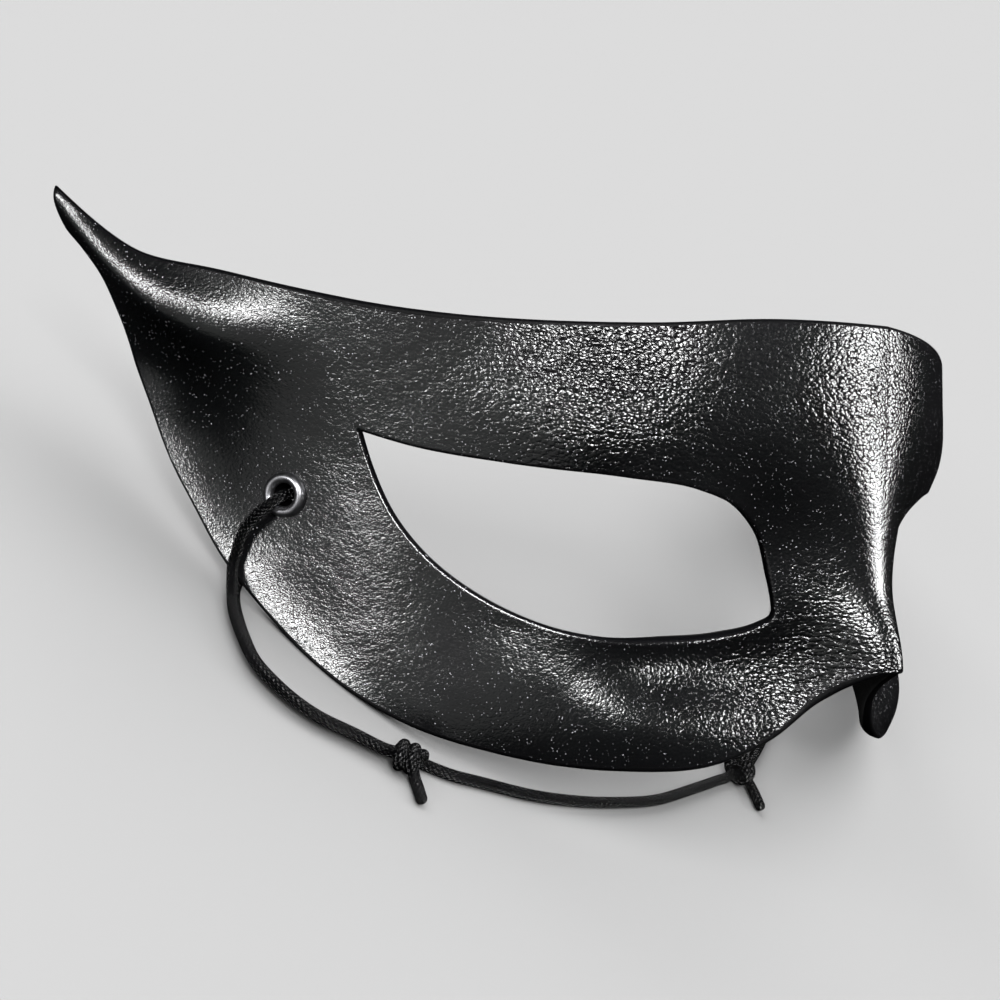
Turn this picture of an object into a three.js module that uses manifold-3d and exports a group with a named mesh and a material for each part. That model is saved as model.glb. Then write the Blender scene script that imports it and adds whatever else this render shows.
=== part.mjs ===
// Moulded leather elf mask: a half mask with swept-back horns at the temples, tied with a cord.
// Millimetres, +Z up. The mask lies loose on its lower rear edges with the brow turned up.
import * as THREE from 'three';
import Module from 'manifold-3d';
import { mergeVertices } from 'three/addons/utils/BufferGeometryUtils.js';

// How the mask lies: leaning back by TILT, centred over the origin, on two small flats of its lower edge
const TILT = 57;
const REST_LIFT = 38.15;
const REST_SHIFT = -62.92;

// The leather, pared thinner by a share towards the horn's tip, the least share of the width that the
// nose's inside keeps, and the face oval
const LEATHER = 2.2;
const PARING = { start: 98, full: 120, share: 0.6 };
const NARROWEST_INSIDE = 0.12;
const HALF_WIDTH = 88;
const OVAL_DEPTH = 101;
const ARC = 84;
const BROW_FLARE = 0.28;
const FLARE_START = 24;
const FLARE_BLEND = 10;
const FACE_FRONT = -15.2;
const FACE_LEAN = -0.08;
const FACE_MIDDLE = 22;

// The middle line seen from the side, and half the width of the nose: [height, forward, half width]
const PROFILE = [
  [-27, 2.3, 9.7], [0, -0.3, 8.1], [14, -6, 12.3], [29, -8.1, 17], [43, -9.9, 19.2], [54, -11.2, 21],
  [80, -16, 21],
];

// Hollows and swellings: [distance round from the middle, height, half length, half width, turn, rise]
const BROW_SWELL = [26.7, 42.9, 21, 18.3, 0, 3.6];
const BROW_CORNER = [45, 34, 14, 10, 0, 2.8];
const EYE_SOCKET = [17.5, 20.5, 9.2, 12, 0, -1.2];
const CHEEK_DROP = [25.7, -2, 15.4, 6.2, 0, -5.3];
const CHEEK_TOP = [50, 4, 14, 8, 0, -1.25];
const CHEEK_SWELL = [42, -14, 14, 8, 0, 0.8];
const CHEEK_ROLL = [45.2, -26.7, 39.6, 10, 0, -4.5];
const CORD_FLARE = [99, 6, 9, 9, 0, 1.5];
const REAR_ROLL = [107, -6, 34, 13, 54, -3.5];
const HORN_HOLLOW = [108, 35, 11, 7, 20, -3];
const LUMPS = [
  BROW_SWELL, BROW_CORNER, EYE_SOCKET, CHEEK_DROP, CHEEK_TOP, CHEEK_SWELL, CHEEK_ROLL, CORD_FLARE, REAR_ROLL,
  HORN_HOLLOW,
];

// The ridge that runs out along each horn, by distance round from the middle and height
const RIDGE = {
  rise: 3.2, width: 6, start: 78, full: 102, faded: 120, fade: 0.75, bend: 92, height: 44, climb: 20, reach: 31,
};

// Edges laid out flat: [distance round from the middle, height]
const TOP_EDGE = [
  [0, 55.8], [20.5, 54.2], [37.9, 51.2], [74.6, 49.5], [94.9, 52.4], [108, 54.7], [116.1, 59.3], [122.3, 63.9],
];
const LOWER_EDGE = [
  [122.3, 63.9], [123.6, 61.8], [122.8, 57.8], [119.5, 54.2], [116.4, 49.9], [115.1, 44.1], [114.8, 35.9],
  [111.3, 27.3], [107.7, 19.8], [102.3, 12.2], [97.1, 5.8], [89.4, -2.3], [80.4, -9.2], [71.3, -13.8],
  [56.6, -17.4], [38.6, -18.6], [22.8, -17.1], [14, -12.8], [8, -5.8], [4.9, -2.3], [2.6, -0.5], [0, 0],
];
const EYE_UPPER = [
  [15.2, 7.7], [16.7, 13], [19.5, 20.1], [23.8, 24.1], [30.7, 26.5], [41, 27.3], [57, 27.6], [71, 28.7],
  [77.3, 30],
];
const EYE_LOWER = [
  [77.3, 30], [76.2, 25.3], [73.3, 18.4], [68.2, 12.2], [60.7, 7], [52, 3.6], [43.1, 2], [33.1, 1.7],
  [22.8, 2.7], [16.6, 5.3], [15.3, 6.6], [15.2, 7.7],
];

// The metal eyelet in each temple: where it sits on the flat layout, and its section [radius, height]
// from the leather's outer face. CLEAR is the play that it has in the leather.
const EYELET_PLACE = [88.4, 18.75];
const EYELET_BORE = 2;
const EYELET_BARREL = 2.5;
const EYELET_RIM = 3.6;
const CLEAR = 0.3;

// The braided cord and the knots that tie it back on itself
const CORD = 1.8;
const KNOT_WIDTH = 5.8;
const KNOT_HEIGHT = 4.2;
const NEAR_KNOT = [-68.9, -38.9, 2.1];
const FAR_KNOT = [0.4, -50.9, 2.1];

// The cord's route, chosen by hand. One strand runs from eyelet to eyelet through both knots. At each
// eyelet it turns back through the bore, goes inside the mask, under its rear edge and into the knot.
const NEAR_OUTER = [
  [-77.8, 2.1, 18.2], [-78.7, 1.7, 18.15], [-79.6, 1.5, 17.6], [-80.3, 1.5, 16.6], [-80.9, 1.8, 15.2],
  [-81.3, 2.1, 13.2], [-81.6, 2.3, 11.1], [-81.8, 2, 9], [-81.9, 1.3, 7], [-82.2, 0.4, 5.1],
  [-82.6, -1.5, 3.6], [-83.3, -3.8, 2.8], [-84.2, -6.4, 2.4], [-84.9, -9.1, 2.4], [-85.4, -12.5, 2.3],
  [-85.8, -17.1, 2.3], [-85.3, -19.9, 2.2], [-83.2, -25.1, 2.2], [-80.3, -29.3, 2.1], [-75.9, -33.3, 2.1],
  [-72.3, -36.7, 2.1],
];
const NEAR_INNER = [
  [-77.6, 2.4, 18.1], [-74.9, 3.5, 17.4], [-73.1, 4.3, 16.8], [-71.6, 5.1, 15.2], [-70.9, 5.7, 12.6],
  [-71.2, 6, 9.6], [-72.4, 5.6, 6.4], [-74.3, 4.4, 3.5], [-76.8, 2.8, 1.6], [-79.1, 0.9, 1],
  [-80.9, -1.4, 0.95], [-82.2, -4.2, 0.93], [-83.2, -7.6, 0.93], [-83.9, -11.1, 0.93], [-84.4, -15.8, 0.93],
  [-84, -18.5, 0.93], [-82, -24, 0.93], [-79.2, -28.3, 0.93], [-74.8, -32.4, 0.93], [-71.1, -35.8, 0.93],
];
const MIDDLE_RUN = [
  [-65.8, -39.6, 0.93], [-62, -42.3, 0.93], [-57.2, -44.6, 0.93], [-49, -48.4, 0.93], [-40.8, -50.9, 0.93],
  [-32.9, -52.4, 0.93], [-24, -53.3, 0.93], [-13.5, -52.5, 0.93], [-5.8, -51.7, 0.93], [-2.8, -51.4, 0.93],
];
const FAR_OUTER = [
  [3.4, -50.2, 1], [9, -47.6, 0.93], [21, -40.5, 0.93], [38, -27.5, 0.93], [56, -14, 0.93], [70, -4, 0.93],
  [77.3, 0.9, 0.98], [81.3, 4.2, 1.05], [84.9, 7, 2.2], [87, 7.7, 5.2], [86.7, 6.6, 9.4], [84.9, 4.6, 13.4],
  [82, 2.6, 17], [78.3, 2.1, 18.2],
];
const FAR_INNER = [
  [77.6, 2.4, 18], [75.3, 3.4, 17.5], [71.7, 4.9, 15.6], [70.1, 5.6, 11.6], [69.6, 5, 7.3],
  [68.4, 2.6, 3.4], [64.5, -1.8, 1.4], [54.5, -10.7, 0.98], [37, -24.4, 0.93], [20, -37.4, 0.93],
  [8.6, -44.8, 0.98], [3.2, -48, 1.1],
];
const NEAR_TAIL = [[-69, -42, 0.98], [-69.5, -44, 0.93], [-70.3, -46.6, 0.93]];
const FAR_TAIL = [[1.2, -54, 0.98], [0.6, -56, 0.93], [-0.8, -59.2, 0.93]];

// Which share of the eye hole's edge faces which share of the outer edge
const MIDDLE_MATCH = [[0, 0], [1, 0.24]];
const TOP_MATCH = [[0, 0.24], [0.62, 0.94], [1, 1]];
const LOWER_MATCH = [
  [0, 0], [0.3, 0.11], [0.48, 0.27], [0.6, 0.41], [0.73, 0.64], [0.84, 0.86], [0.945, 0.98], [1, 1],
];

// How finely each half is divided
const MIDDLE_STEPS = 12;
const TOP_STEPS = 28;
const LOWER_STEPS = 42;
const ACROSS_STEPS = 9;
const ROUND = 24;

const radians = THREE.MathUtils.degToRad;
const blend = x => THREE.MathUtils.smoothstep(x, 0, 1);

// A smooth curve through points at uneven distances: straight-line parameter, three-point slopes
function slopes(at, value) {
  const gap = at.slice(1).map((x, i) => x - at[i]);
  const rise = gap.map((g, i) => (value[i + 1] - value[i]) / g);
  const slope = value.map((_, i) => (gap[i] * rise[i - 1] + gap[i - 1] * rise[i]) / (gap[i - 1] + gap[i]));
  slope[0] = 1.5 * rise[0] - 0.5 * slope[1];
  slope[value.length - 1] = 1.5 * rise.at(-1) - 0.5 * slope.at(-2);
  return slope;
}

function hermite(at, value, slope, x) {
  let i = at.findIndex(knot => knot > x) - 1;
  if (i < 0) i = x < at[0] ? 0 : at.length - 2;
  const gap = at[i + 1] - at[i];
  const t = (x - at[i]) / gap;
  const start = (1 + 2 * t) * (1 - t) ** 2;
  return start * value[i] + (1 - start) * value[i + 1]
    + gap * t * (1 - t) * ((1 - t) * slope[i] - t * slope[i + 1]);
}

function curveThrough(points) {
  const at = [0];
  points.slice(1).forEach((p, i) => at.push(at[i] + Math.hypot(p[0] - points[i][0], p[1] - points[i][1])));
  const axes = [0, 1].map(axis => points.map(p => p[axis]));
  const slope = axes.map(values => slopes(at, values));
  return share => axes.map((values, axis) => hermite(at, values, slope[axis], share * at.at(-1)));
}

// Slopes of the side profile are kept level where it turns, so that it never swings past its points
function levelSlopes(at, value) {
  const gap = at.slice(1).map((x, i) => x - at[i]);
  const rise = gap.map((g, i) => (value[i + 1] - value[i]) / g);
  return value.map((_, i) => {
    if (i === 0) return rise[0];
    if (i === value.length - 1) return rise.at(-1);
    if (rise[i - 1] * rise[i] <= 0) return 0;
    const before = 2 * gap[i] + gap[i - 1];
    const after = gap[i] + 2 * gap[i - 1];
    return (before + after) / (before / rise[i - 1] + after / rise[i]);
  });
}

const heights = PROFILE.map(row => row[0]);
const forwards = PROFILE.map(row => row[1]);
const widths = PROFILE.map(row => row[2]);
const forwardSlopes = levelSlopes(heights, forwards);
const widthSlopes = levelSlopes(heights, widths);

function share(match, x) {
  const i = Math.max(1, match.findIndex(pair => pair[0] >= x));
  const [[x0, y0], [x1, y1]] = [match[i - 1], match[i]];
  return y0 + (y1 - y0) * (x - x0) / (x1 - x0);
}

function lump([place, height, length, width, turn, rise], s, v) {
  const [c, d] = [Math.cos(radians(turn)), Math.sin(radians(turn))];
  const along = ((s - place) * c + (v - height) * d) / length;
  const across = (-(s - place) * d + (v - height) * c) / width;
  return rise * Math.exp(-along * along - across * across);
}

function ridge(s, v) {
  const out = Math.max(0, (s - RIDGE.bend) / RIDGE.reach);
  const line = RIDGE.height + RIDGE.climb * out * out;
  const grow = blend((s - RIDGE.start) / (RIDGE.full - RIDGE.start));
  const fade = 1 - RIDGE.fade * blend((s - RIDGE.full) / (RIDGE.faded - RIDGE.full));
  return RIDGE.rise * grow * fade * Math.exp(-(((v - line) / RIDGE.width) ** 2));
}

// The outer face on one half: s round from the middle, v up; x to the side, y forward, z up
function outerFace(s, v) {
  const turn = s / ARC;
  const side = HALF_WIDTH + BROW_FLARE / 2 * (v - FLARE_START + Math.hypot(v - FLARE_START, FLARE_BLEND));
  const front = FACE_FRONT + FACE_LEAN * (v - FACE_MIDDLE);
  const middle = hermite(heights, forwards, forwardSlopes, v);
  const nose = hermite(heights, widths, widthSlopes, v);
  const rise = LUMPS.reduce((sum, row) => sum + lump(row, s, v), ridge(s, v));
  const x = side * Math.sin(turn) + rise * Math.sin(turn);
  const y = front - OVAL_DEPTH * (1 - Math.cos(turn)) + (middle - front) * Math.exp(-((s / nose) ** 2))
    + rise * Math.cos(turn);
  return new THREE.Vector3(x, y, v);
}

function outward(s, v) {
  const step = 0.05;
  const round = outerFace(s + step, v).sub(outerFace(s - step, v));
  const up = outerFace(s, v + step).sub(outerFace(s, v - step));
  return round.cross(up).normalize().negate();
}

// The inner face lies one leather's thickness in, and never crosses the middle
function thickness(s) {
  return LEATHER * (1 - PARING.share * blend((s - PARING.start) / (PARING.full - PARING.start)));
}

function innerFace(s, v) {
  const inner = outerFace(s, v).addScaledVector(outward(s, v), -thickness(s));
  inner.x = s === 0 ? 0 : Math.max(inner.x, NARROWEST_INSIDE * s);
  inner.y = Math.min(inner.y, outerFace(0, v).y - LEATHER);
  return inner;
}

// From the face's own axes to the table: leaned back, lifted and centred
function laid(point) {
  const [c, d] = [Math.cos(radians(TILT)), Math.sin(radians(TILT))];
  const y = point.z * c - point.y * d + REST_SHIFT;
  const z = point.z * d + point.y * c + REST_LIFT;
  return new THREE.Vector3(-point.x, y, Math.max(z, 0));
}

// Pairs of flat positions, outer edge and eye hole, all the way round one half
function edgePairs() {
  const pairs = [];
  const middle = [[0, 0], [0, TOP_EDGE[0][1] / 2], TOP_EDGE[0]];
  const runs = [
    [middle, EYE_UPPER, MIDDLE_MATCH, MIDDLE_STEPS],
    [TOP_EDGE, EYE_UPPER, TOP_MATCH, TOP_STEPS],
    [LOWER_EDGE, EYE_LOWER, LOWER_MATCH, LOWER_STEPS],
  ];
  for (const [edge, eye, match, steps] of runs) {
    const outerCurve = curveThrough(edge);
    const eyeCurve = curveThrough(eye);
    for (let i = 0; i < steps; i++) pairs.push([outerCurve(i / steps), eyeCurve(share(match, i / steps))]);
  }
  return pairs;
}

function shellGeometry() {
  const pairs = edgePairs();
  const around = pairs.length;
  const corners = [];
  const faces = [];
  const number = (side, skin, i, j) => ((side * 2 + skin) * around + i % around) * (ACROSS_STEPS + 1) + j;
  for (const side of [0, 1]) {
    for (const face of [outerFace, innerFace]) {
      for (const [edge, eye] of pairs) {
        for (let j = 0; j <= ACROSS_STEPS; j++) {
          const t = j / ACROSS_STEPS;
          const [s, v] = [0, 1].map(axis => edge[axis] + (eye[axis] - edge[axis]) * t);
          const point = face(s, v);
          if (side === 1) point.x *= -1;
          corners.push(laid(point));
        }
      }
    }
  }
  const quad = (a, b, c, d, flip) => faces.push(...(flip ? [a, c, b, a, d, c] : [a, b, c, a, c, d]));
  for (const side of [0, 1]) {
    const flip = side === 1;
    for (let i = 0; i < around; i++) {
      for (let j = 0; j < ACROSS_STEPS; j++) {
        quad(number(side, 0, i, j), number(side, 0, i + 1, j), number(side, 0, i + 1, j + 1),
          number(side, 0, i, j + 1), flip);
        quad(number(side, 1, i, j), number(side, 1, i + 1, j), number(side, 1, i + 1, j + 1),
          number(side, 1, i, j + 1), !flip);
      }
      const last = ACROSS_STEPS;
      quad(number(side, 0, i, last), number(side, 0, i + 1, last), number(side, 1, i + 1, last),
        number(side, 1, i, last), flip);
      if (i >= MIDDLE_STEPS) {
        quad(number(side, 0, i + 1, 0), number(side, 0, i, 0), number(side, 1, i, 0),
          number(side, 1, i + 1, 0), flip);
      }
    }
  }
  const geometry = new THREE.BufferGeometry();
  geometry.setAttribute('position', new THREE.Float32BufferAttribute(corners.flatMap(p => p.toArray()), 3));
  geometry.setIndex(faces);
  return mergeVertices(geometry, 0.001);
}

// The temple holes are cut square to the leather
const Manifold = await Module();
Manifold.setup();

function solid(geometry) {
  const bare = geometry.clone();
  bare.deleteAttribute('normal');
  bare.deleteAttribute('uv');
  const merged = mergeVertices(bare, 0.001);
  return new Manifold.Manifold(new Manifold.Mesh({
    numProp: 3,
    vertProperties: merged.attributes.position.array,
    triVerts: new Uint32Array(merged.index.array),
  }));
}

function geometryOf(body) {
  const mesh = body.getMesh();
  const geometry = new THREE.BufferGeometry();
  geometry.setAttribute('position', new THREE.BufferAttribute(mesh.vertProperties, 3));
  geometry.setIndex(new THREE.BufferAttribute(mesh.triVerts, 1));
  return geometry;
}

// Stands a geometry made along +Y on the temple of one side, its +Y pointing out of the leather
function ontoTemple(geometry, side) {
  const seat = laid(outerFace(...EYELET_PLACE));
  const tip = laid(outerFace(...EYELET_PLACE).add(outward(...EYELET_PLACE)));
  const direction = tip.clone().sub(seat);
  seat.x *= side;
  direction.x *= side;
  const turn = new THREE.Quaternion().setFromUnitVectors(new THREE.Vector3(0, 1, 0), direction.normalize());
  return geometry.applyMatrix4(new THREE.Matrix4().compose(seat, turn, new THREE.Vector3(1, 1, 1)));
}

function piercedShell() {
  let body = solid(shellGeometry());
  for (const side of [1, -1]) {
    const drill = new THREE.CylinderGeometry(EYELET_BARREL + CLEAR, EYELET_BARREL + CLEAR, 4 * LEATHER, ROUND);
    body = body.subtract(solid(ontoTemple(drill, side)));
  }
  return geometryOf(body);
}

function eyeletGeometry(side) {
  const back = -LEATHER - CLEAR;
  const section = [
    [EYELET_BORE, back - 0.4], [EYELET_BORE, 0.7], [EYELET_BORE + 0.3, 1.1], [EYELET_BORE + 0.9, 1.25],
    [EYELET_RIM - 0.3, 1], [EYELET_RIM, 0.55], [EYELET_RIM - 0.1, CLEAR], [EYELET_BARREL, CLEAR],
    [EYELET_BARREL, back], [EYELET_RIM - 0.4, back], [EYELET_RIM - 0.3, back - 0.3],
    [EYELET_RIM - 0.5, back - 0.6], [EYELET_BORE + 0.3, back - 0.6],
  ];
  const profile = [...section, section[0]].map(([radius, height]) => new THREE.Vector2(radius, height));
  return ontoTemple(new THREE.LatheGeometry(profile.reverse(), ROUND), side);
}

function cordGeometry(route, steps) {
  const path = new THREE.CatmullRomCurve3(route.map(point => new THREE.Vector3(...point)), false, 'centripetal');
  const section = new THREE.Shape();
  section.absarc(0, 0, CORD / 2, 0, 2 * Math.PI);
  return new THREE.ExtrudeGeometry(section, { extrudePath: path, steps, curveSegments: 4 });
}

function knotGeometry(place) {
  const ball = new THREE.SphereGeometry(0.5, 12, 8);
  return ball.scale(KNOT_WIDTH, KNOT_WIDTH, KNOT_HEIGHT).translate(...place);
}

const leather = new THREE.MeshStandardMaterial({ color: 0x26272a, roughness: 0.42, metalness: 0.25 });
const darkNickel = new THREE.MeshStandardMaterial({ color: 0x4a4b4e, roughness: 0.28, metalness: 1 });
const braid = new THREE.MeshStandardMaterial({ color: 0x161617, roughness: 0.7, metalness: 0 });

const group = new THREE.Group();
const pieces = [
  ['mask_shell', piercedShell(), leather],
  ['eyelet_near', eyeletGeometry(1), darkNickel],
  ['eyelet_far', eyeletGeometry(-1), darkNickel],
  ['cord_near_outer', cordGeometry(NEAR_OUTER, 17), braid],
  ['cord_near_inner', cordGeometry(NEAR_INNER, 17), braid],
  ['cord_middle', cordGeometry(MIDDLE_RUN, 12), braid],
  ['cord_far_outer', cordGeometry(FAR_OUTER, 17), braid],
  ['cord_far_inner', cordGeometry(FAR_INNER, 15), braid],
  ['cord_near_tail', cordGeometry(NEAR_TAIL, 2), braid],
  ['cord_far_tail', cordGeometry(FAR_TAIL, 2), braid],
  ['knot_near', knotGeometry(NEAR_KNOT), braid],
  ['knot_far', knotGeometry(FAR_KNOT), braid],
];
for (const [name, geometry, material] of pieces) {
  const mesh = new THREE.Mesh(geometry, material);
  mesh.name = name;
  group.add(mesh);
}

export default group;
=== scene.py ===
# Moulded leather elf mask lying on a table, with its braided tie cord. Metres, +Z up.
import math

import bmesh
import bpy
import numpy as np
from mathutils import Matrix, Vector


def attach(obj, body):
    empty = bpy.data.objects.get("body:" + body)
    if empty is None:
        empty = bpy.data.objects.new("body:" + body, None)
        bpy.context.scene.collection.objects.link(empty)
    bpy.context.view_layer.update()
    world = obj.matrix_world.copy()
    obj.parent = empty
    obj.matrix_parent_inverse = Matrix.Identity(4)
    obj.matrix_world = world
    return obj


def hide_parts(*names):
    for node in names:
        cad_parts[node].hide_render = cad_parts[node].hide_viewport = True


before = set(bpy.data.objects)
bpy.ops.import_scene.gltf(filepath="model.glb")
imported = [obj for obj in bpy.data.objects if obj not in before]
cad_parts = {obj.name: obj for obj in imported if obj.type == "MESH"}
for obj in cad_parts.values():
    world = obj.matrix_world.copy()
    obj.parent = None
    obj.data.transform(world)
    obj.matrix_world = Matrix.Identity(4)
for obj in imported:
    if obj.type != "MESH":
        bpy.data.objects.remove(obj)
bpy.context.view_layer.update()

MM = 0.001
SAME = 1e-7

# Camera, worked out from the mask's outline in the photograph
CAMERA_PLACE = (-0.20543, -0.13984, 0.13498)
CAMERA_RIGHT = (0.72591, -0.51109, 0.46026)
CAMERA_UP = (-0.02323, 0.65060, 0.75907)
LENS = 51.11
SENSOR = 36.0

# Cord
CORD = 0.0018
STRAND_STEP = 0.00045
NEAR_OUTER = [
    (-0.0778, 0.0021, 0.0182), (-0.0787, 0.0017, 0.01815), (-0.0796, 0.0015, 0.0176),
    (-0.0803, 0.0015, 0.0166), (-0.0809, 0.0018, 0.0152), (-0.0813, 0.0021, 0.0132),
    (-0.0816, 0.0023, 0.0111), (-0.0818, 0.002, 0.009), (-0.0819, 0.0013, 0.007),
    (-0.0822, 0.0004, 0.0051), (-0.0826, -0.0015, 0.0036), (-0.0833, -0.0038, 0.0028),
    (-0.0842, -0.0064, 0.0024), (-0.0849, -0.0091, 0.0024), (-0.0854, -0.0125, 0.0023),
    (-0.0858, -0.0171, 0.0023), (-0.0853, -0.0199, 0.0022), (-0.0832, -0.0251, 0.0022),
    (-0.0803, -0.0293, 0.0021), (-0.0759, -0.0333, 0.0021), (-0.0723, -0.0367, 0.0021),
]
NEAR_INNER = [
    (-0.0776, 0.0024, 0.0181), (-0.0749, 0.0035, 0.0174), (-0.0731, 0.0043, 0.0168),
    (-0.0716, 0.0051, 0.0152), (-0.0709, 0.0057, 0.0126), (-0.0712, 0.006, 0.0096),
    (-0.0724, 0.0056, 0.0064), (-0.0743, 0.0044, 0.0035), (-0.0768, 0.0028, 0.0016),
    (-0.0791, 0.0009, 0.001), (-0.0809, -0.0014, 0.00095), (-0.0822, -0.0042, 0.00093),
    (-0.0832, -0.0076, 0.00093), (-0.0839, -0.0111, 0.00093), (-0.0844, -0.0158, 0.00093),
    (-0.084, -0.0185, 0.00093), (-0.082, -0.024, 0.00093), (-0.0792, -0.0283, 0.00093),
    (-0.0748, -0.0324, 0.00093), (-0.0711, -0.0358, 0.00093),
]
MIDDLE_RUN = [
    (-0.0658, -0.0396, 0.00093), (-0.062, -0.0423, 0.00093), (-0.0572, -0.0446, 0.00093),
    (-0.049, -0.0484, 0.00093), (-0.0408, -0.0509, 0.00093), (-0.0329, -0.0524, 0.00093),
    (-0.024, -0.0533, 0.00093), (-0.0135, -0.0525, 0.00093), (-0.0058, -0.0517, 0.00093),
    (-0.0028, -0.0514, 0.00093),
]
FAR_OUTER = [
    (0.0034, -0.0502, 0.001), (0.009, -0.0476, 0.00093), (0.021, -0.0405, 0.00093), (0.038, -0.0275, 0.00093),
    (0.056, -0.014, 0.00093), (0.07, -0.004, 0.00093), (0.0773, 0.0009, 0.00098), (0.0813, 0.0042, 0.00105),
    (0.0849, 0.007, 0.0022), (0.087, 0.0077, 0.0052), (0.0867, 0.0066, 0.0094), (0.0849, 0.0046, 0.0134),
    (0.082, 0.0026, 0.017), (0.0783, 0.0021, 0.0182),
]
FAR_INNER = [
    (0.0776, 0.0024, 0.018), (0.0753, 0.0034, 0.0175), (0.0717, 0.0049, 0.0156), (0.0701, 0.0056, 0.0116),
    (0.0696, 0.005, 0.0073), (0.0684, 0.0026, 0.0034), (0.0645, -0.0018, 0.0014), (0.0545, -0.0107, 0.00098),
    (0.037, -0.0244, 0.00093), (0.02, -0.0374, 0.00093), (0.0086, -0.0448, 0.00098), (0.0032, -0.048, 0.0011),
]
NEAR_TAIL = [(-0.069, -0.042, 0.00098), (-0.0695, -0.044, 0.00093), (-0.0703, -0.0466, 0.00093)]
FAR_TAIL = [(0.0012, -0.054, 0.00098), (0.0006, -0.056, 0.00093), (-0.0008, -0.0592, 0.00093)]
NEAR_KNOT = (-0.0689, -0.0389, 0.0021)
FAR_KNOT = (0.0004, -0.0509, 0.0021)
NEAR_KNOT_HEADING = -34
FAR_KNOT_HEADING = 14
KNOT = dict(turns=2.3, pitch=0.00178, wide=0.00195, high=0.00118, slant=0.35, tuck=0.09, tucked=0.35)
KNOT_STEPS = 150
KNOT_SIDES = 32
CORD_SIDES = 24
ROUND_END_TIP = 0.02
CURVE_STEPS = 24
BRAID_STRANDS = 6

# How the mask lies, in millimetres and degrees, as all the sizes of the leather below
TILT = 57
REST_LIFT = 38.15
REST_SHIFT = -62.92
LEATHER = 2.2
PARING = dict(start=98, full=120, share=0.6)
NARROWEST_INSIDE = 0.12
HALF_WIDTH = 88
OVAL_DEPTH = 101
ARC = 84
BROW_FLARE = 0.28
FLARE_START = 24
FLARE_BLEND = 10
FACE_FRONT = -15.2
FACE_LEAN = -0.08
FACE_MIDDLE = 22

# The middle line from the side, and half the width of the nose: (height, forward, half width)
PROFILE = np.array([
    (-27, 2.3, 9.7), (0, -0.3, 8.1), (14, -6, 12.3), (29, -8.1, 17), (43, -9.9, 19.2), (54, -11.2, 21),
    (80, -16, 21),
])

# Hollows and swellings: (distance round from the middle, height, half length, half width, turn, rise)
BROW_SWELL = (26.7, 42.9, 21, 18.3, 0, 3.6)
BROW_CORNER = (45, 34, 14, 10, 0, 2.8)
EYE_SOCKET = (17.5, 20.5, 9.2, 12, 0, -1.2)
CHEEK_DROP = (25.7, -2, 15.4, 6.2, 0, -5.3)
CHEEK_TOP = (50, 4, 14, 8, 0, -1.25)
CHEEK_SWELL = (42, -14, 14, 8, 0, 0.8)
CHEEK_ROLL = (45.2, -26.7, 39.6, 10, 0, -4.5)
CORD_FLARE = (99, 6, 9, 9, 0, 1.5)
REAR_ROLL = (107, -6, 34, 13, 54, -3.5)
HORN_HOLLOW = (108, 35, 11, 7, 20, -3)
LUMPS = [
    BROW_SWELL, BROW_CORNER, EYE_SOCKET, CHEEK_DROP, CHEEK_TOP, CHEEK_SWELL, CHEEK_ROLL, CORD_FLARE,
    REAR_ROLL, HORN_HOLLOW,
]
RIDGE = dict(
    rise=3.2, width=6, start=78, full=102, faded=120, fade=0.75, bend=92, height=44, climb=20, reach=31,
)

# Edges laid out flat: (distance round from the middle, height)
TOP_EDGE = [
    (0, 55.8), (20.5, 54.2), (37.9, 51.2), (74.6, 49.5), (94.9, 52.4), (108, 54.7), (116.1, 59.3),
    (122.3, 63.9),
]
LOWER_EDGE = [
    (122.3, 63.9), (123.6, 61.8), (122.8, 57.8), (119.5, 54.2), (116.4, 49.9), (115.1, 44.1),
    (114.8, 35.9), (111.3, 27.3), (107.7, 19.8), (102.3, 12.2), (97.1, 5.8), (89.4, -2.3), (80.4, -9.2),
    (71.3, -13.8), (56.6, -17.4), (38.6, -18.6), (22.8, -17.1), (14, -12.8), (8, -5.8), (4.9, -2.3),
    (2.6, -0.5), (0, 0),
]
EYE_UPPER = [
    (15.2, 7.7), (16.7, 13), (19.5, 20.1), (23.8, 24.1), (30.7, 26.5), (41, 27.3), (57, 27.6), (71, 28.7),
    (77.3, 30),
]
EYE_LOWER = [
    (77.3, 30), (76.2, 25.3), (73.3, 18.4), (68.2, 12.2), (60.7, 7), (52, 3.6), (43.1, 2), (33.1, 1.7),
    (22.8, 2.7), (16.6, 5.3), (15.3, 6.6), (15.2, 7.7),
]
MIDDLE_MATCH = [(0, 0), (1, 0.24)]
TOP_MATCH = [(0, 0.24), (0.62, 0.94), (1, 1)]
LOWER_MATCH = [
    (0, 0), (0.3, 0.11), (0.48, 0.27), (0.6, 0.41), (0.73, 0.64), (0.84, 0.86), (0.945, 0.98), (1, 1),
]

# The eyelet's place, and the half width and half depth of the round hole cut for it
EYELET_PLACE = (88.4, 18.75)
EYELET_HOLE = 2.8
EYELET_REACH = 5

# Material slots of the leather's mesh
FACE, CUT, FLESH = 0, 1, 2

# Fineness of the leather's mesh on each half, with the rows near a cut edge placed by their distance from it
MIDDLE_STEPS = 84
TOP_STEPS = 170
LOWER_STEPS = 250
FACE_STEPS = 40
BACK_STEPS = 10
NEAR_EDGE = np.array([0, 0.04, 0.12, 0.24, 0.38, 0.55, 0.8, 1.1])
NEAR_EDGE_BACK = NEAR_EDGE[[0, 2, 4, 6]]
EDGE_ROUND = 0.6

# Rows beside the outer cut edge that are burnished with it
BURNISHED_ROWS = 6

# The mesh's rows from the horn's edge to the eye hole bow downwards, which keeps a dark seam off the horn
HORN_BOW = dict(droop=2.2, start=100, run=20)

# Slow unevenness of leather that was shaped wet by hand
WAVE_RISE = 0.05
FINER_RISE = 0.02

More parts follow.
